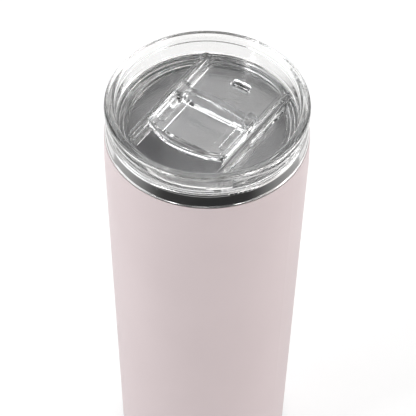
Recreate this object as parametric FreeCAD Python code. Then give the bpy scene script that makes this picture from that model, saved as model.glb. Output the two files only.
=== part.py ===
import FreeCAD, Part
import math
import os
from FreeCAD import Vector

# Insulated tumbler with a clear press-in lid and a sliding closure.
# Millimetres. +Z up, origin at the centre of the foot, the drinking side faces -Y.

# ---- cup: driving dimensions ----
COAT_TOP = 190.0        # height of the coating's top edge
COAT_R = 43.95          # outer radius at that edge
COAT_STRAIGHT = COAT_TOP - 14.0     # the wall is straight above this height
COAT_T = 0.2            # thickness of the coating
TAPER = 0.04            # radius lost per millimetre of height below that
STEEL_T = 0.5           # thickness of every steel wall
LIP_TOP = COAT_TOP + 7.3
NECK_R = 43.3           # bare steel band between the coating and the lip
LEDGE = 0.7             # height above the coating's edge of the near-flat step in to the neck
MOUTH_R = 41.4          # inner radius of the mouth
LIP_BEAD = 1.6          # height of the rounded lip that joins liner and shell
LINER_STRAIGHT = 180.0  # the liner is straight above this height
LINER_FOOT = 14.0       # lowest point of the liner's wall
FOOT_RING_R = 33.0      # inner radius of the rolled foot
FOOT_CORNER = 3.0       # rounding of the foot
VACUUM_FLOOR = 7.0      # height of the flat part of the vacuum bottom

# ---- lid: driving dimensions, heights counted from the coating's edge ----
RIM_TOP = 18.3
SEAT = 7.5              # underside that sits over the drinking lip
FLANGE_BOTTOM = 13.4    # the rim overhangs above this height, as a grip for pulling
FLANGE_R = 43.85
COLLAR_R = 42.4         # outer radius between the seat and the overhang
NOTCH_TOP = 16.0        # height of the thumb notch in the overhang
PAD_RISE = 0.7          # how far the grip pad stands out from the overhang
PAD_DROP = 0.8          # how far it hangs below the overhang
RECESS_R = 39.5         # inner radius at the rim
SHELF_R = 38.5          # inner radius at the shelf
SHELF_TOP = 8.0
SHELF_T = 2.0
POOL_R = 33.7           # radius of the sunk floor inside the shelf
FLOOR_TOP = 4.6
FLOOR_BOTTOM = 2.6
PLUG_R = 40.8
PLUG_BOTTOM = -0.6
SKIRT_R = 37.6          # inner radius of the plug below the shelf
GROOVE_R = 39.2
GROOVE_LOW = 0.8
GROOVE_HIGH = 4.2

# ---- track and slider ----
RIB_INNER = 20.6        # half width of the channel between the track ribs
RIB_T = 2.2
RIB_TOP = 9.4
LIP_INNER = 19.7        # the ribs' lips reach in to here and hold the slider down
LIP_UNDER = 7.6
RIB_FRONT_R = 34.6      # the ribs end here, on the shelf
CHANNEL_BACK_R = 38.0
TRAVEL = 15.6           # slider stroke, from open to closed
SLIDER_HALF = 19.3
SLIDER_ARC_R = 37.6     # the front lip is concentric with the lid when closed
PLATE_BOTTOM = 8.3
PLATE_T = 1.8
LIP_HEIGHT = 3.4        # front lip and side rims of the slider
SLIDER_RIM = 1.6
PANEL_HALF = 11.0       # half width of the sunk panel in the middle of the plate
PANEL_DEPTH = 0.7
TROUGH_INNER = 13.8     # the sunk troughs run from here to the side rims
TROUGH_DEPTH = 1.1
TROUGH_FRONT = -12.5
TAIL_BOTTOM = 4.9
RIDGE_Y = 6.4           # centre of the thumb ridge
RIDGE_T = 4.0
RIDGE_RISE = 2.8        # how far the arch of the ridge rises above its ends
TAIL_T = 1.4
TAIL_ARC_R = 37.3
TAIL_RIM_TOP = 8.4
VENT_Y = 26.5

# ---- gasket ----
GASKET_LIP_R = 41.25
GASKET_BODY_R = 40.55

Z_AXIS = Vector(0, 0, 1)
ORIGIN = Vector(0, 0, 0)
FAR = 60.0              # larger than any radius here, for cutting blocks


def lid_z(height):
    """Height above the foot of a height counted from the coating's edge."""
    return COAT_TOP + height


def rounded_wire(corners, place):
    """Closed wire through corners (a, b, radius), each rounded by a tangent arc."""
    spans = []
    for i, (a, b, radius) in enumerate(corners):
        here = Vector(a, b, 0)
        before = Vector(*corners[i - 1][:2], 0) - here
        after = Vector(*corners[(i + 1) % len(corners)][:2], 0) - here
        half = before.getAngle(after) / 2
        before.normalize()
        after.normalize()
        if radius == 0:
            spans.append((here, None, here))
            continue
        reach = radius / math.tan(half)
        inward = (before + after).normalize()
        middle = here + inward * (radius / math.sin(half) - radius)
        spans.append((here + before * reach, middle, here + after * reach))
    edges = []
    for i, (start, middle, end) in enumerate(spans):
        if middle is not None:
            edges.append(Part.Arc(place(start), place(middle), place(end)).toShape())
        following = spans[(i + 1) % len(spans)][0]
        if (following - end).Length > 1e-4:
            edges.append(Part.LineSegment(place(end), place(following)).toShape())
    return Part.Wire(edges)


def turned(corners, lift=0.0):
    """Solid of revolution about Z from corners (radius, height, rounding)."""
    wire = rounded_wire(corners, lambda p: Vector(p.x, 0, p.y + lift))
    return Part.Face(wire).revolve(ORIGIN, Z_AXIS, 360)


def prism(corners, bottom, top):
    """Upright prism on a plan outline of corners (x, y, rounding)."""
    wire = rounded_wire(corners, lambda p: Vector(p.x, p.y, bottom))
    return Part.Face(wire).extrude(Vector(0, 0, top - bottom))


def block(x0, x1, y0, y1, z0, z1):
    return Part.makeBox(x1 - x0, y1 - y0, z1 - z0, Vector(x0, y0, z0))


def tube(outer, inner, bottom, top, y=0.0):
    centre = Vector(0, y, bottom)
    solid = Part.makeCylinder(outer, top - bottom, centre)
    return solid.cut(Part.makeCylinder(inner, top - bottom, centre))


def disc(radius, bottom, top, y=0.0):
    return Part.makeCylinder(radius, top - bottom, Vector(0, y, bottom))


def fused(solids):
    whole = solids[0].multiFuse(solids[1:])
    return whole.removeSplitter()


def both_sides(solid):
    """The solid and its mirror image across the YZ plane."""
    return [solid, solid.mirror(ORIGIN, Vector(1, 0, 0))]


def softened(solid, radius, chosen):
    """Fillet the edges that the test picks out."""
    edges = [edge for edge in solid.Edges if chosen(edge)]
    return solid.makeFillet(radius, edges)


def save(name, shape):
    solids = shape.Solids
    if not shape.isValid() or len(solids) < 1:
        raise RuntimeError(name + " is not a valid solid")
    result = solids[0] if len(solids) == 1 else Part.makeCompound(solids)
    result.exportStep("parts/" + name + ".step")
    print(name, "solids", len(solids), "volume", round(shape.Volume, 1))


# ---------------------------------------------------------------- vacuum cup

def coat_radius(z):
    return COAT_R - TAPER * max(0.0, COAT_STRAIGHT - z)


def shell_radius(z):
    return coat_radius(z) - COAT_T


def liner_radius(z):
    return MOUTH_R - TAPER * max(0.0, LINER_STRAIGHT - z)


def make_outer_shell():
    """Tapered wall, bare polished neck up to the lip, and a rolled foot."""
    t = STEEL_T
    foot_z = FOOT_CORNER + 1.0
    outside = [
        (FOOT_RING_R, 0, 0),
        (shell_radius(0), 0, FOOT_CORNER),
        (shell_radius(COAT_STRAIGHT), COAT_STRAIGHT, 0),
        (shell_radius(COAT_TOP), COAT_TOP + LEDGE, 0.15),
        (NECK_R, COAT_TOP + LEDGE + 0.1, 0.1),
        (NECK_R, LIP_TOP - LIP_BEAD, 0),
    ]
    inside = [
        (NECK_R - t, LIP_TOP - LIP_BEAD, 0),
        (NECK_R - t, COAT_TOP + LEDGE - t, 0.3),
        (shell_radius(COAT_TOP) - t, COAT_TOP + LEDGE - 2 * t, 0.3),
        (shell_radius(COAT_STRAIGHT) - t, COAT_STRAIGHT, 0),
        (shell_radius(foot_z) - t, foot_z, 0),
        (shell_radius(0) - t, t, FOOT_CORNER - t),
        (FOOT_RING_R, t, 0),
    ]
    return turned(outside + inside)


def make_powder_coat():
    """Thin skin on the shell, from above the foot's rounding to its visible top edge."""
    low = FOOT_CORNER + 0.4
    return turned([
        (shell_radius(low), low, 0),
        (coat_radius(low), low, 0),
        (coat_radius(COAT_STRAIGHT), COAT_STRAIGHT, 0),
        (coat_radius(COAT_TOP), COAT_TOP, 0),
        (shell_radius(COAT_TOP), COAT_TOP, 0),
        (shell_radius(COAT_STRAIGHT), COAT_STRAIGHT, 0),
    ])


def make_inner_liner():
    t = STEEL_T
    return turned([
        (liner_radius(LINER_FOOT), LINER_FOOT, 0),
        (liner_radius(LINER_FOOT) + t, LINER_FOOT, 0),
        (liner_radius(LINER_STRAIGHT) + t, LINER_STRAIGHT, 0),
        (MOUTH_R + t, LIP_TOP - LIP_BEAD, 0),
        (MOUTH_R, LIP_TOP - LIP_BEAD, 0),
        (MOUTH_R, LINER_STRAIGHT, 0),
    ])


def make_rim_weld_bead():
    """Rounded drinking lip across the tops of liner and shell."""
    low = LIP_TOP - LIP_BEAD
    rounding = 0.45 * (NECK_R - MOUTH_R)
    return turned([
        (MOUTH_R, low, 0),
        (NECK_R, low, 0),
        (NECK_R, LIP_TOP, rounding),
        (MOUTH_R, LIP_TOP, rounding),
    ])


def make_liner_bottom():
    """Dished disc with an upturned edge that fits inside the liner's foot."""
    t = STEEL_T
    r = liner_radius(LINER_FOOT)
    return turned([
        (0, LINER_FOOT + 1.6, 0),
        (r - 9, LINER_FOOT + 0.4, 6),
        (r - 4, LINER_FOOT, 3),
        (r, LINER_FOOT, 3),
        (r, LINER_FOOT + 5, 0),
        (r - t, LINER_FOOT + 5, 0),
        (r - t, LINER_FOOT + t, 3 - t),
        (r - 4, LINER_FOOT + t, 3),
        (r - 9, LINER_FOOT + 0.4 + t, 6),
        (0, LINER_FOOT + 1.6 + t, 0),
    ])


def make_copper_foil():
    """Radiation shield round the liner, a hair clear of it."""
    gap = STEEL_T + 0.15
    thick = 0.25
    low, high = LINER_FOOT + 6.0, LINER_STRAIGHT - 4.0
    return turned([
        (liner_radius(low) + gap, low, 0),
        (liner_radius(low) + gap + thick, low, 0),
        (liner_radius(high) + gap + thick, high, 0),
        (liner_radius(high) + gap, high, 0),
    ])


def make_vacuum_bottom():
    """Inner bottom of the shell: a skirt on the shell's wall, a flat, and a central dimple."""
    t = STEEL_T
    low = FOOT_CORNER + 1.2
    wall_low = shell_radius(low) - t
    wall_high = shell_radius(VACUUM_FLOOR) - t
    hole_r = 1.2
    return turned([
        (wall_low - t, low, 0),
        (wall_low, low, 0),
        (wall_high, VACUUM_FLOOR + t, 1.6),
        (8, VACUUM_FLOOR + t, 1.0),
        (6, VACUUM_FLOOR - 1.4 + t, 0.8),
        (hole_r, VACUUM_FLOOR - 1.4 + t, 0),
        (hole_r, VACUUM_FLOOR - 1.4, 0),
        (6.3, VACUUM_FLOOR - 1.4, 1.0),
        (8.3, VACUUM_FLOOR, 0.8),
        (wall_high - t, VACUUM_FLOOR, 1.0),
    ])


def make_sealing_glass():
    """Solder-glass drop that fills the evacuation hole and flattens below it."""
    under = VACUUM_FLOOR - 1.4
    return turned([
        (0, under - 0.9, 0),
        (2.4, under - 0.9, 0.6),
        (2.4, under, 0),
        (1.2, under, 0),
        (1.2, under + STEEL_T, 0),
        (0, under + STEEL_T, 0),
    ])


GETTER_X = 18.0
GETTER_R = 4.0
GETTER_H = 1.8


def make_getter_pellet():
    top = VACUUM_FLOOR + STEEL_T
    pellet = Part.makeCylinder(GETTER_R, GETTER_H, Vector(GETTER_X, 0, top))
    return softened(pellet, 0.3, lambda edge: edge.BoundBox.ZMin > top + 1.0)


def make_getter_clip():
    """Strap over the pellet with a foot on each side."""
    floor = VACUUM_FLOOR + STEEL_T
    top = floor + GETTER_H
    strap = 0.3
    reach = GETTER_R + strap
    profile = [
        (-reach - 3, floor), (-reach, floor), (-reach, top), (reach, top),
        (reach, floor), (reach + 3, floor), (reach + 3, floor + strap),
        (reach + strap, floor + strap), (reach + strap, top + strap),
        (-reach - strap, top + strap), (-reach - strap, floor + strap), (-reach - 3, floor + strap),
    ]
    points = [Vector(GETTER_X - 1.5, y, z) for y, z in profile]
    wire = Part.makePolygon(points + points[:1])
    return Part.Face(wire).extrude(Vector(3.0, 0, 0))


def make_base_cover():
    """Outer bottom disc: a rim inside the rolled foot and a groove for the foot pad."""
    t = STEEL_T
    r = FOOT_RING_R
    return turned([
        (0, 1.6, 0),
        (22, 1.6, 1),
        (24, 2.6, 1),
        (30, 2.6, 1),
        (32, t, 1),
        (r, t, 0),
        (r + 0.5, t, 0),
        (r + 0.5, 2 * t, 0),
        (32.4, 2 * t, 1),
        (30.4, 2.6 + t, 1),
        (23.6, 2.6 + t, 1),
        (21.6, 1.6 + t, 1),
        (0, 1.6 + t, 0),
    ])


def make_foot_pad():
    """Non-slip ring in the base groove, level with the rolled foot."""
    return turned([
        (24.6, 0.0, 0.4),
        (29.4, 0.0, 0.4),
        (29.4, 2.6, 0),
        (24.6, 2.6, 0),
    ])


# ----------------------------------------------------------------------- lid

def make_lid_dish():
    """Rim, hanging flange, plug with gasket groove, shelf and sunk floor in one section."""
    under_shelf = SHELF_TOP - SHELF_T
    return turned([
        (COLLAR_R, FLANGE_BOTTOM, 0.6),
        (FLANGE_R, FLANGE_BOTTOM, 0.5),
        (FLANGE_R, RIM_TOP, 1.5),
        (RECESS_R, RIM_TOP, 1.7),
        (SHELF_R, SHELF_TOP, 0.8),
        (POOL_R, SHELF_TOP, 0.7),
        (POOL_R, FLOOR_TOP, 0.6),
        (0, FLOOR_TOP, 0),
        (0, FLOOR_BOTTOM, 0),
        (POOL_R + 1.8, FLOOR_BOTTOM, 0.6),
        (POOL_R + 1.8, under_shelf, 0.5),
        (SKIRT_R, under_shelf, 0.5),
        (SKIRT_R, PLUG_BOTTOM, 0.4),
        (PLUG_R, PLUG_BOTTOM, 0.8),
        (PLUG_R, GROOVE_LOW, 0.2),
        (GROOVE_R, GROOVE_LOW, 0.2),
        (GROOVE_R, GROOVE_HIGH, 0.2),
        (PLUG_R, GROOVE_HIGH, 0.2),
        (PLUG_R, SEAT, 0.3),
        (COLLAR_R, SEAT, 0.5),
    ], lid_z(0))


def channel_floor():
    """Floor under the back of the channel, where the shelf is left out."""
    low, high = lid_z(FLOOR_BOTTOM), lid_z(SHELF_TOP - SHELF_T)
    half = RIB_INNER + RIB_T
    sector = disc(SKIRT_R + 0.5, low, high)
    return sector.common(block(-half, half, 12, FAR, low, high))


def channel_pocket():
    """Space cut through the shelf for the slider's tail, with rounded back corners."""
    low, high = lid_z(FLOOR_TOP), lid_z(RIB_TOP)
    space = disc(CHANNEL_BACK_R, low, high)
    space = space.common(block(-RIB_INNER, RIB_INNER, 8, FAR, low, high))
    return softened(space, 4.0, lambda edge: upright(edge) and edge.BoundBox.YMin > 20)


def upright(edge):
    box = edge.BoundBox
    return box.XLength < 0.01 and box.YLength < 0.01


def track_rib():
    """One rib of the track: a wall on the floor with a lip over the slider's runner."""
    low, top = lid_z(FLOOR_TOP - 0.4), lid_z(RIB_TOP)
    outer = RIB_INNER + RIB_T
    wall = block(RIB_INNER, outer, -FAR, FAR, low, top)
    front = disc(RIB_FRONT_R, low, top).common(block(0, FAR, -FAR, 0, low, top))
    back = disc(SHELF_R, low, top).common(block(0, FAR, 0, FAR, low, top))
    wall = wall.common(front.fuse(back))
    wall = softened(wall, 0.5, lambda edge: edge.BoundBox.ZMin > top - 0.01
                    and edge.BoundBox.YLength > 20)
    lip = block(LIP_INNER, RIB_INNER + 0.8, -19, 31, lid_z(LIP_UNDER), lid_z(RIB_TOP - 0.5))
    return wall.fuse(lip)


def drink_opening():
    """Opening through the floor at the front, between the track ribs."""
    half = LIP_INNER - 0.8
    low, high = lid_z(FLOOR_BOTTOM - 1), lid_z(FLOOR_TOP + 0.1)
    space = disc(POOL_R - 1.5, low, high).common(block(-half, half, -FAR, -13, low, high))
    return softened(space, 3.0, upright)


def vent_slot(y, half_length, half_width, low, high):
    corners = [
        (-half_length, y - half_width, 0.6),
        (half_length, y - half_width, 0.6),
        (half_length, y + half_width, half_width * 0.98),
        (-half_length, y + half_width, half_width * 0.98),
    ]
    return prism(corners, low, high)


def thumb_notch():
    """Wedge cut from the overhang's lower edge, deep at one end and running out at the other."""
    middle = 65.8       # degrees round from the drinking side towards +X
    reach = 13.6
    outline = [
        (-reach, FLANGE_BOTTOM - 1), (-reach, NOTCH_TOP - 0.6), (-reach + 0.6, NOTCH_TOP),
        (-reach + 5, NOTCH_TOP - 0.2), (reach, FLANGE_BOTTOM - 0.1), (reach, FLANGE_BOTTOM - 1),
    ]
    points = [Vector(a, -FAR, lid_z(b)) for a, b in outline]
    wedge = Part.Face(Part.makePolygon(points + points[:1])).extrude(Vector(0, FAR / 2, 0))
    wedge = wedge.common(tube(FAR, COLLAR_R, lid_z(FLANGE_BOTTOM - 1), lid_z(NOTCH_TOP)))
    wedge.rotate(ORIGIN, Z_AXIS, middle)
    return wedge


def grip_pad():
    """Raised pad on the overhang beside the notch, hanging a little below it, with upright bars."""
    start, end = 33.0, 47.5     # degrees round from the drinking side
    low, high = lid_z(FLANGE_BOTTOM - PAD_DROP), lid_z(NOTCH_TOP + 1.0)
    pad_r = FLANGE_R + PAD_RISE
    pad = tube(pad_r, FLANGE_R - 1.0, low, high)
    keep = Part.makeCylinder(FAR, high - low, Vector(0, 0, low), Z_AXIS, end - start)
    keep.rotate(ORIGIN, Z_AXIS, start - 90)
    pieces = [pad.common(keep)]
    for angle in (37.5, 40.0, 42.5):
        bar = Part.makeCylinder(0.35, high - low - 1.6, Vector(0, -pad_r + 0.1, low + 0.8))
        bar.rotate(ORIGIN, Z_AXIS, angle)
        pieces.append(bar)
    return pieces


def make_lid_body():
    solid = make_lid_dish().fuse(channel_floor())
    solid = solid.cut(channel_pocket())
    solid = fused([solid] + both_sides(track_rib()) + grip_pad())
    solid = solid.cut(drink_opening())
    solid = solid.cut(vent_slot(VENT_Y, 3.6, 1.4, lid_z(FLOOR_BOTTOM - 1), lid_z(FLOOR_TOP + 1)))
    return solid.cut(thumb_notch())


def make_lid_gasket():
    """Silicone ring in the plug's groove, with two thin lips towards the liner."""
    inner = GROOVE_R + 0.05
    low, high = GROOVE_LOW + 0.05, GROOVE_HIGH - 0.05
    return turned([
        (inner, low, 0.3),
        (GASKET_BODY_R, low, 0.2),
        (GASKET_LIP_R, low + 0.45, 0.15),
        (GASKET_LIP_R, low + 0.85, 0.15),
        (GASKET_BODY_R, low + 1.2, 0.15),
        (GASKET_BODY_R, high - 1.2, 0.15),
        (GASKET_LIP_R, high - 0.85, 0.15),
        (GASKET_LIP_R, high - 0.45, 0.15),
        (GASKET_BODY_R, high, 0.2),
        (inner, high, 0.3),
    ], lid_z(0))


# -------------------------------------------------------------------- slider

def slider_plate():
    """Front plate with its curved lip, side rims, sunk middle panel and two side troughs."""
    low = lid_z(PLATE_BOTTOM)
    mid = low + PLATE_T
    top = low + LIP_HEIGHT
    back = RIDGE_Y + RIDGE_T / 2
    tray = disc(SLIDER_ARC_R, low, top, TRAVEL)
    tray = tray.common(block(-SLIDER_HALF, SLIDER_HALF, -FAR, back, low, top))
    tray = softened(tray, 2.5, lambda edge: upright(edge) and edge.BoundBox.YMax < 0)
    tray = softened(tray, 0.5, lambda edge: edge.BoundBox.ZMin > top - 0.01
                    and edge.BoundBox.YMin < 0)
    inner_half = SLIDER_HALF - SLIDER_RIM
    tray = tray.cut(plate_hollow(inner_half, 1.5, mid, top + 1, back))
    tray = tray.cut(plate_hollow(PANEL_HALF, 0.8, mid - PANEL_DEPTH, top, RIDGE_Y))
    for trough in both_sides(side_trough(inner_half, mid - TROUGH_DEPTH, top)):
        tray = tray.cut(trough)
    return tray


def plate_hollow(half, corner, bottom, top, back):
    """Space inside the front lip, between two side lines and a back line."""
    space = disc(SLIDER_ARC_R - SLIDER_RIM, bottom, top, TRAVEL)
    space = space.common(block(-half, half, -FAR, back, bottom, top))
    return softened(space, corner, lambda edge: upright(edge) and edge.BoundBox.YMax < 0)


def side_trough(outer, bottom, top):
    return prism([
        (TROUGH_INNER, TROUGH_FRONT, 0.8),
        (outer, TROUGH_FRONT, 0.8),
        (outer, RIDGE_Y - RIDGE_T, 0.8),
        (TROUGH_INNER, RIDGE_Y - RIDGE_T, 0.8),
    ], bottom, top)


def thumb_ridge():
    """Cross ridge whose top is a shallow arch, with an upright block at each end."""
    low = lid_z(TAIL_BOTTOM)
    ends = lid_z(PLATE_BOTTOM + LIP_HEIGHT)
    half = SLIDER_HALF - 0.2
    points = [Vector(-half, 0, low), Vector(-half, 0, ends)]
    crown = Vector(0, 0, ends + RIDGE_RISE)
    arch = Part.Arc(points[1], crown, Vector(half, 0, ends)).toShape()
    sides = Part.makePolygon([Vector(half, 0, ends), Vector(half, 0, low), points[0], points[1]])
    ridge = Part.Face(Part.Wire([arch] + sides.Edges)).extrude(Vector(0, RIDGE_T, 0))
    ridge.translate(Vector(0, RIDGE_Y - RIDGE_T / 2, 0))
    ridge = softened(ridge, 0.8, lambda edge: edge.BoundBox.XLength > half
                     and edge.BoundBox.ZMax > ends)
    end_block = prism([
        (half - 4.2, RIDGE_Y - 3.4, 0.8),
        (half, RIDGE_Y - 3.4, 0.8),
        (half, RIDGE_Y + 3.8, 0.8),
        (half - 4.2, RIDGE_Y + 3.8, 0.8),
    ], low, ends + 1.2)
    end_block = softened(end_block, 0.4, lambda edge: edge.BoundBox.ZMin > ends + 1.1)
    return [ridge] + both_sides(end_block)


def slider_tail():
    """Thin tail behind the ridge with a raised U-shaped rim and rounded back corners."""
    low = lid_z(TAIL_BOTTOM)
    mid = low + TAIL_T
    top = lid_z(TAIL_RIM_TOP)
    rim = 1.8
    half = SLIDER_HALF - 0.2

    def plan(radius, half_width, corner, z0, z1):
        solid = disc(radius, z0, z1).common(block(-half_width, half_width, RIDGE_Y, FAR, z0, z1))
        return softened(solid, corner, lambda edge: upright(edge) and edge.BoundBox.YMin > 15)

    tail = plan(TAIL_ARC_R, half, 5.0, low, top)
    tail = softened(tail, 0.5, lambda edge: edge.BoundBox.ZMin > top - 0.01
                    and edge.BoundBox.YMax > RIDGE_Y + 1)
    return tail.cut(plan(TAIL_ARC_R - rim, half - rim, 3.4, mid, top + 1))


def runner():
    """Tongue along the slider's side that runs under the rib's lip."""
    low, top = lid_z(TAIL_BOTTOM), lid_z(LIP_UNDER - 0.4)
    corners = [
        (SLIDER_HALF - 2.4, -1.0, 0),
        (RIB_INNER - 0.3, 0.6, 0.4),
        (RIB_INNER - 0.3, 27.4, 0.4),
        (SLIDER_HALF - 2.4, 29.0, 0),
    ]
    return prism(corners, low, top)


def make_slider():
    solid = fused([slider_plate(), slider_tail()] + both_sides(runner()) + thumb_ridge())
    slot = vent_slot(VENT_Y, 4.6, 2.1, lid_z(TAIL_BOTTOM - 1), lid_z(PLATE_BOTTOM))
    return solid.cut(slot)


PARTS = {
    "outer_shell": make_outer_shell,
    "powder_coat": make_powder_coat,
    "inner_liner": make_inner_liner,
    "rim_weld_bead": make_rim_weld_bead,
    "liner_bottom": make_liner_bottom,
    "copper_foil": make_copper_foil,
    "vacuum_bottom": make_vacuum_bottom,
    "sealing_glass": make_sealing_glass,
    "getter_pellet": make_getter_pellet,
    "getter_clip": make_getter_clip,
    "base_cover": make_base_cover,
    "foot_pad": make_foot_pad,
    "lid_body": make_lid_body,
    "lid_gasket": make_lid_gasket,
    "slider": make_slider,
}

os.makedirs("parts", exist_ok=True)
for part_name, make in PARTS.items():
    save(part_name, make())
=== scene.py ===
import math

import bpy
from mathutils import Matrix, Vector


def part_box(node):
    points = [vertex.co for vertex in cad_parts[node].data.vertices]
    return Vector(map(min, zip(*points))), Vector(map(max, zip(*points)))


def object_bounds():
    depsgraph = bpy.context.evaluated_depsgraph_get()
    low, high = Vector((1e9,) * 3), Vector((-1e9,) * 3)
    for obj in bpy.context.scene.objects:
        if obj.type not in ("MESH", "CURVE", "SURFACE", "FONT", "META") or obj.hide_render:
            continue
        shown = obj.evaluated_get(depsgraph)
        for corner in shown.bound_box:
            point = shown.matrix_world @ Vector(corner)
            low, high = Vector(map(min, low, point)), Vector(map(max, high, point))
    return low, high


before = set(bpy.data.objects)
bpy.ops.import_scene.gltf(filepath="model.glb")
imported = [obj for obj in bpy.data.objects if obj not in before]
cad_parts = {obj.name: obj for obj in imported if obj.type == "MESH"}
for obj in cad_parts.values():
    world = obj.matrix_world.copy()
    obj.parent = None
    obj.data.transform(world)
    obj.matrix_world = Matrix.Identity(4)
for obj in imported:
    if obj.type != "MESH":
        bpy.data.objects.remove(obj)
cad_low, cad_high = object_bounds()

# Looks of an insulated tumbler with a clear press-in lid. Metres, in the CAD frame.

# ---- places worked out from the frame ----
EDGE_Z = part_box("powder_coat")[1].z      # visible top edge of the coating

# ---- camera: the side it stands on and how it frames the mouth ----
CAMERA_AZIMUTH = 33.0                   # degrees round from the drinking side
CAMERA_ELEVATION = 46.85
CAMERA_DISTANCE = 1.5283
CAMERA_AIM_DOWN = 1.206                 # degrees below the centre of the coating's edge
CAMERA_AIM_SIDE = -0.034
CAMERA_ROLL = 0.857
CAMERA_LENS = 310.15
SENSOR = 36.0

# ---- light ----
COOL = (0.95, 0.985, 1.0)
WARM = (1.0, 0.975, 0.955)
GLINT_DISTANCE = 1.4
FLOOR_GLOW = 0.64                       # keeps the floor just at white
FLOOR_SIZE = 9.0
WORLD_STRENGTH = 0.74

# ---- dark card that paints a reflection on the bare steel lip ----
CARD_WIDTH = 1.0
CARD_DEPTH = 0.70
CARD_AWAY = 0.25                        # from the cup's axis to the card's middle
CARD_LIFT = 0.0005                      # above the floor


# ------------------------------------------------------------------ node help

class Graph:
    """A material's node tree with short calls for the nodes used here."""

    def __init__(self, name):
        self.material = bpy.data.materials.new(name)
        self.material.use_nodes = True
        self.tree = self.material.node_tree
        self.shader = self.tree.nodes["Principled BSDF"]
        self.coords = self.tree.nodes.new("ShaderNodeTexCoord").outputs["Object"]

    def set(self, **values):
        for name, value in values.items():
            self.shader.inputs[name.replace("_", " ")].default_value = value

    def link(self, output, target):
        self.tree.links.new(output, self.shader.inputs[target])

    def node(self, kind, inputs=None, **settings):
        made = self.tree.nodes.new(kind)
        for name, value in settings.items():
            setattr(made, name, value)
        for name, value in (inputs or {}).items():
            if isinstance(value, bpy.types.NodeSocket):
                self.tree.links.new(value, made.inputs[name])
            else:
                made.inputs[name].default_value = value
        return made

    def stretched(self, x, y, z):
        """Object coordinates, in metres, scaled to features per metre on each axis."""
        mapping = self.node("ShaderNodeMapping", {"Vector": self.coords, "Scale": (x, y, z)})
        return mapping.outputs["Vector"]

    def noise(self, vector, scale=1.0, detail=3.0, rough=0.5, distortion=0.0):
        made = self.node("ShaderNodeTexNoise", {
            "Vector": vector, "Scale": scale, "Detail": detail,
            "Roughness": rough, "Distortion": distortion})
        return made.outputs["Fac"]

    def span(self, value, low, high, from_low=0.3, from_high=0.7):
        """A 0-1 value mapped onto low..high."""
        made = self.node("ShaderNodeMapRange", {
            "Value": value, "From Min": from_low, "From Max": from_high,
            "To Min": low, "To Max": high})
        return made.outputs["Result"]

    def blend(self, factor, first, second):
        made = self.node("ShaderNodeMix", data_type="RGBA")
        self.tree.links.new(factor, made.inputs["Factor"])
        made.inputs[6].default_value = (*first, 1)
        made.inputs[7].default_value = (*second, 1)
        return made.outputs[2]

    def bump(self, height, distance, strength=1.0, normal=None):
        inputs = {"Height": height, "Distance": distance, "Strength": strength}
        if normal is not None:
            inputs["Normal"] = normal
        return self.node("ShaderNodeBump", inputs).outputs["Normal"]


# ------------------------------------------------------------------ materials

def powder_coat():
    """Matte blush coat with a fine orange-peel grain and a faint mottling."""
    g = Graph("powder_coat")
    g.set(Roughness=0.55, IOR=1.5, Sheen_Weight=0.22, Sheen_Roughness=0.4)
    mottle = g.noise(g.stretched(28, 28, 18), detail=4)
    grain = g.noise(g.stretched(1500, 1500, 1500), detail=2)
    g.link(g.blend(g.span(mottle, 0, 1), (0.800, 0.678, 0.685), (0.830, 0.706, 0.713)), "Base Color")
    g.link(g.span(grain, 0.48, 0.62), "Roughness")
    peel = g.noise(g.stretched(420, 420, 420), detail=1)
    coarse = g.bump(peel, 0.00003, 0.5)
    g.link(g.bump(grain, 0.00002, 0.6, coarse), "Normal")
    return g.material


def turned_steel(name, light, dark, rough_low, rough_high, line_step, depth):
    """Bare steel with fine lines running round the axis."""
    g = Graph(name)
    g.set(Metallic=1.0)
    lines = g.noise(g.stretched(14, 14, line_step), detail=5, rough=0.7)
    bands = g.noise(g.stretched(5, 5, line_step / 14), detail=2)
    smudge = g.noise(g.stretched(60, 60, 40), detail=4)
    g.link(g.blend(g.span(bands, 0, 1), dark, light), "Base Color")
    wear = g.node("ShaderNodeMath", {0: g.span(lines, 0, 0.6), 1: g.span(smudge, 0, 0.4)},
                  operation="ADD").outputs["Value"]
    g.link(g.span(wear, rough_low, rough_high, 0, 1), "Roughness")
    fine = g.bump(lines, depth, 0.5)
    g.link(g.bump(bands, depth * 4, 0.5, fine), "Normal")
    return g.material


def clear_plastic(name, tint):
    """Thick clear copolyester: glossy, with very faint flow marks and handling haze."""
    g = Graph(name)
    g.set(IOR=1.52, Transmission_Weight=1.0)
    flow = g.noise(g.stretched(40, 40, 60), detail=1, distortion=0.3)
    haze = g.noise(g.stretched(300, 300, 300), detail=3)
    g.link(g.blend(g.span(flow, 0, 1), tint, (0.985, 0.984, 0.980)), "Base Color")
    g.link(g.span(haze, 0.01, 0.03), "Roughness")
    g.link(g.bump(flow, 0.00001, 0.1), "Normal")
    return g.material


def silicone(name, light, dark, transmission):
    """Soft rubber with a cloudy tone and a fine dull grain."""
    g = Graph(name)
    g.set(IOR=1.41, Transmission_Weight=transmission)
    cloud = g.noise(g.stretched(160, 160, 160), detail=3)
    grain = g.noise(g.stretched(2200, 2200, 2200), detail=2)
    g.link(g.blend(g.span(cloud, 0, 1), dark, light), "Base Color")
    g.link(g.span(grain, 0.38, 0.55), "Roughness")
    g.link(g.bump(grain, 0.00002, 0.5), "Normal")
    return g.material


def foil():
    """Crinkled copper foil."""
    g = Graph("copper_foil")
    g.set(Metallic=1.0)
    crinkle = g.node("ShaderNodeTexVoronoi", {"Vector": g.stretched(260, 260, 190)}).outputs["Distance"]
    tone = g.noise(g.stretched(40, 40, 40), detail=4)
    g.link(g.blend(g.span(tone, 0, 1), (0.62, 0.27, 0.15), (0.80, 0.42, 0.26)), "Base Color")
    g.link(g.span(crinkle, 0.18, 0.34, 0, 1), "Roughness")
    g.link(g.bump(crinkle, 0.0003, 0.6), "Normal")
    return g.material


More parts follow.
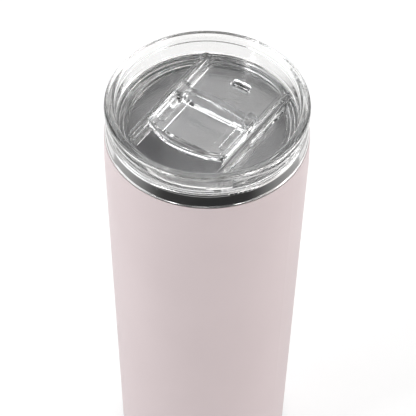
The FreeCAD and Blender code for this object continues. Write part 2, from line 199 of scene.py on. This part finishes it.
def sintered():
    """Dark pressed metal powder."""
    g = Graph("getter_powder")
    g.set(Metallic=0.7)
    grit = g.noise(g.stretched(3000, 3000, 3000), detail=4)
    g.link(g.blend(g.span(grit, 0, 1), (0.05, 0.05, 0.055), (0.16, 0.16, 0.17)), "Base Color")
    g.link(g.span(grit, 0.6, 0.9), "Roughness")
    g.link(g.bump(grit, 0.0001, 0.8), "Normal")
    return g.material


def solder_glass():
    """Greenish glass with slow swirls."""
    g = Graph("solder_glass")
    g.set(IOR=1.6, Transmission_Weight=0.4)
    swirl = g.noise(g.stretched(500, 500, 500), detail=3, distortion=1.5)
    g.link(g.blend(g.span(swirl, 0, 1), (0.10, 0.13, 0.09), (0.24, 0.28, 0.18)), "Base Color")
    g.link(g.span(swirl, 0.08, 0.2), "Roughness")
    g.link(g.bump(swirl, 0.0001, 0.4), "Normal")
    return g.material


def floor_paint():
    """Pale matte floor with a glow of its own."""
    g = Graph("pale_floor")
    cloud = g.noise(g.stretched(3, 3, 3), detail=3)
    g.link(g.blend(g.span(cloud, 0, 1), (0.43, 0.43, 0.43), (0.46, 0.46, 0.46)), "Base Color")
    g.link(g.span(cloud, 0.85, 0.95), "Roughness")
    g.set(Emission_Color=(1, 1, 1, 1), Emission_Strength=FLOOR_GLOW)
    return g.material


def dress(node, material):
    """Puts one material on a CAD node's object."""
    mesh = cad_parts[node].data
    mesh.materials.clear()
    mesh.materials.append(material)


def dress_nodes():
    clear = clear_plastic("clear_lid", (0.950, 0.948, 0.940))
    clear_slider = clear_plastic("clear_slider", (0.965, 0.970, 0.975))
    neck = turned_steel("neck_steel", light=(0.72, 0.715, 0.71), dark=(0.66, 0.655, 0.65),
                        rough_low=0.07, rough_high=0.16, line_step=5200, depth=0.000004)
    spun = turned_steel("spun_steel", light=(0.925, 0.925, 0.93), dark=(0.825, 0.823, 0.827),
                        rough_low=0.16, rough_high=0.30, line_step=1200, depth=0.000012)
    sheet = turned_steel("rolled_strip", light=(0.60, 0.60, 0.60), dark=(0.52, 0.52, 0.52),
                         rough_low=0.25, rough_high=0.4, line_step=2500, depth=0.00001)
    looks = {
        "powder_coat": powder_coat(),
        "outer_shell": neck,
        "rim_weld_bead": neck,
        "inner_liner": spun,
        "liner_bottom": spun,
        "base_cover": sheet,
        "vacuum_bottom": sheet,
        "getter_clip": sheet,
        "copper_foil": foil(),
        "getter_pellet": sintered(),
        "sealing_glass": solder_glass(),
        "foot_pad": silicone("pad_silicone", (0.52, 0.45, 0.46), (0.46, 0.40, 0.41), 0.0),
        "lid_gasket": silicone("clear_silicone", (0.90, 0.91, 0.92), (0.82, 0.84, 0.85), 0.55),
        "lid_body": clear,
        "slider": clear_slider,
    }
    for node, material in looks.items():
        dress(node, material)


# ---------------------------------------------------------- floor and lights

def camera_side(azimuth, elevation):
    """Unit vector from the object towards that azimuth and elevation, in degrees."""
    a, e = math.radians(azimuth), math.radians(elevation)
    return Vector((math.sin(a) * math.cos(e), -math.cos(a) * math.cos(e), math.sin(e)))


def flat_sheet(name, width, depth, matrix, material):
    mesh = bpy.data.meshes.new(name)
    w, d = width / 2, depth / 2
    mesh.from_pydata([(-w, -d, 0), (w, -d, 0), (w, d, 0), (-w, d, 0)], [], [(0, 1, 2, 3)])
    mesh.materials.append(material)
    made = bpy.data.objects.new(name, mesh)
    made.matrix_world = matrix
    bpy.context.scene.collection.objects.link(made)
    return made


def make_floor():
    flat_sheet("floor", FLOOR_SIZE, FLOOR_SIZE, Matrix.Translation((0, 0, cad_low.z)), floor_paint())


def make_painted_reflection_card():
    """Dark card on the floor before the object, darkest in its middle, hidden from the camera, diffuse
    light and shadows: it paints a dark reflection on the bare steel and darkens what is seen through the
    clear plastic.
    """
    g = Graph("painted_reflection_card")
    parts = g.node("ShaderNodeSeparateXYZ", {"Vector": g.coords})
    across = g.node("ShaderNodeMath", {0: parts.outputs["X"]}, operation="ABSOLUTE").outputs["Value"]
    cloud = g.noise(g.stretched(5, 5, 5))
    to_side = g.span(across, 0, 0.75, 0.18, 0.5)
    to_object = g.span(parts.outputs["Y"], 0, 0.75, 0.10, 0.38)
    fade = g.node("ShaderNodeMath", {0: to_side, 1: to_object}, operation="ADD").outputs["Value"]
    fade = g.node("ShaderNodeMath", {0: fade, 1: g.span(cloud, 0.0, 0.03)},
                  operation="ADD").outputs["Value"]
    # painted reflection: this dark middle fading to pale is what the steel lip mirrors and the clear
    # plastic shows
    g.link(g.blend(fade, (0.012, 0.012, 0.012), (0.9, 0.9, 0.9)), "Base Color")
    g.link(g.span(cloud, 0.8, 0.95), "Roughness")
    side = camera_side(CAMERA_AZIMUTH, 0)
    place = Matrix.Translation(side * CARD_AWAY + Vector((0, 0, cad_low.z + CARD_LIFT)))
    turn = Matrix.Rotation(math.radians(CAMERA_AZIMUTH), 4, "Z")
    card = flat_sheet("painted_reflection_card", CARD_WIDTH, CARD_DEPTH, place @ turn, g.material)
    card.visible_camera = False
    card.visible_diffuse = False
    card.visible_shadow = False


def aim(thing, place, target):
    thing.location = place
    thing.rotation_mode = "QUATERNION"
    thing.rotation_quaternion = (Vector(target) - Vector(place)).to_track_quat("-Z", "Y")


def softbox(name, azimuth, elevation, distance, width, height, power, colour=(1, 1, 1)):
    data = bpy.data.lights.new(name, "AREA")
    data.shape = "RECTANGLE"
    data.size, data.size_y = width, height
    data.energy = power
    data.color = colour
    lamp = bpy.data.objects.new(name, data)
    bpy.context.scene.collection.objects.link(lamp)
    middle = Vector((0, 0, EDGE_Z))
    aim(lamp, middle + camera_side(azimuth, elevation) * distance, middle)
    return lamp


def glint(name, azimuth, elevation, size, power):
    """Small bright light seen only in gloss and clear plastic, for white lines on rounded edges."""
    lamp = softbox(name, azimuth, elevation, GLINT_DISTANCE, size, size, power)
    lamp.visible_diffuse = False


def make_lights():
    left = CAMERA_AZIMUTH - 80
    right = CAMERA_AZIMUTH + 75
    behind = CAMERA_AZIMUTH + 180
    softbox("key_left", left, 27, distance=1.3, width=1.0, height=1.2, power=5.2, colour=COOL)
    softbox("fill_right", right, 20, distance=1.4, width=0.9, height=1.2, power=3.3, colour=WARM)
    softbox("top_back", behind, 62, distance=1.5, width=1.6, height=1.2, power=5.5)
    front = softbox("front_fill", CAMERA_AZIMUTH + 10, 22, distance=1.6, width=1.0, height=1.0, power=1.5)
    front.visible_glossy = False
    front.visible_transmission = False
    softbox("strip_left", left + 25, 50, distance=1.1, width=0.08, height=0.9, power=1.6)
    softbox("strip_right", right - 20, 48, distance=1.1, width=0.08, height=0.9, power=1.4)
    glint("glint_back_right", behind - 59, 50, size=0.45, power=4.2)
    glint("glint_back_left", behind + 18, 24, size=0.25, power=0.8)
    glint("glint_top", CAMERA_AZIMUTH, 86, size=0.30, power=1.2)


def make_world():
    """Bright low walls, a dim ceiling, and grey behind the lens, as in a small studio."""
    world = bpy.data.worlds.new("studio_walls")
    bpy.context.scene.world = world
    world.use_nodes = True
    tree = world.node_tree
    back = tree.nodes["Background"]
    where = tree.nodes.new("ShaderNodeTexCoord").outputs["Generated"]

    def towards(direction, stops):
        dot = tree.nodes.new("ShaderNodeVectorMath")
        dot.operation = "DOT_PRODUCT"
        dot.inputs[1].default_value = direction
        tree.links.new(where, dot.inputs[0])
        ramp = tree.nodes.new("ShaderNodeValToRGB")
        for element, (position, grey) in zip(ramp.color_ramp.elements, stops):
            element.position = position
            element.color = (grey, grey, grey, 1)
        tree.links.new(dot.outputs["Value"], ramp.inputs["Fac"])
        return ramp.outputs["Color"]

    lens_side = towards(camera_side(CAMERA_AZIMUTH, 12), ((0.08, 1.0), (0.74, 0.06)))
    ceiling = towards((0, 0, 1), ((0.50, 1.0), (0.95, 0.55)))
    both = tree.nodes.new("ShaderNodeMix")
    both.data_type, both.blend_type = "RGBA", "MULTIPLY"
    both.inputs["Factor"].default_value = 1.0
    tree.links.new(lens_side, both.inputs[6])
    tree.links.new(ceiling, both.inputs[7])
    tree.links.new(both.outputs[2], back.inputs["Color"])
    back.inputs["Strength"].default_value = WORLD_STRENGTH


def make_camera():
    data = bpy.data.cameras.new("camera")
    data.lens, data.sensor_width = CAMERA_LENS, SENSOR
    data.clip_start, data.clip_end = 0.05, 20.0
    camera = bpy.data.objects.new("camera", data)
    bpy.context.scene.collection.objects.link(camera)
    back = camera_side(CAMERA_AZIMUTH, CAMERA_ELEVATION)
    right = camera_side(CAMERA_AZIMUTH + 90, 0)
    up = back.cross(right)
    basis = Matrix((right, up, back)).transposed().to_4x4()
    turn = (Matrix.Rotation(math.radians(CAMERA_AIM_SIDE), 4, "Y")
            @ Matrix.Rotation(math.radians(-CAMERA_AIM_DOWN), 4, "X")
            @ Matrix.Rotation(math.radians(CAMERA_ROLL), 4, "Z"))
    place = Vector((0, 0, EDGE_Z)) + back * CAMERA_DISTANCE
    camera.matrix_world = Matrix.Translation(place) @ basis @ turn
    bpy.context.scene.camera = camera
    bpy.context.scene.view_settings.view_transform = "Standard"


def allow_deep_light_paths():
    """Enough bounces for light to come back out of the steel cup through the clear lid."""
    cycles = bpy.context.scene.cycles
    cycles.max_bounces = 32
    cycles.glossy_bounces = 20
    cycles.transmission_bounces = 24
    cycles.diffuse_bounces = 4


make_camera()
allow_deep_light_paths()
make_world()
make_lights()
make_floor()
make_painted_reflection_card()
dress_nodes()
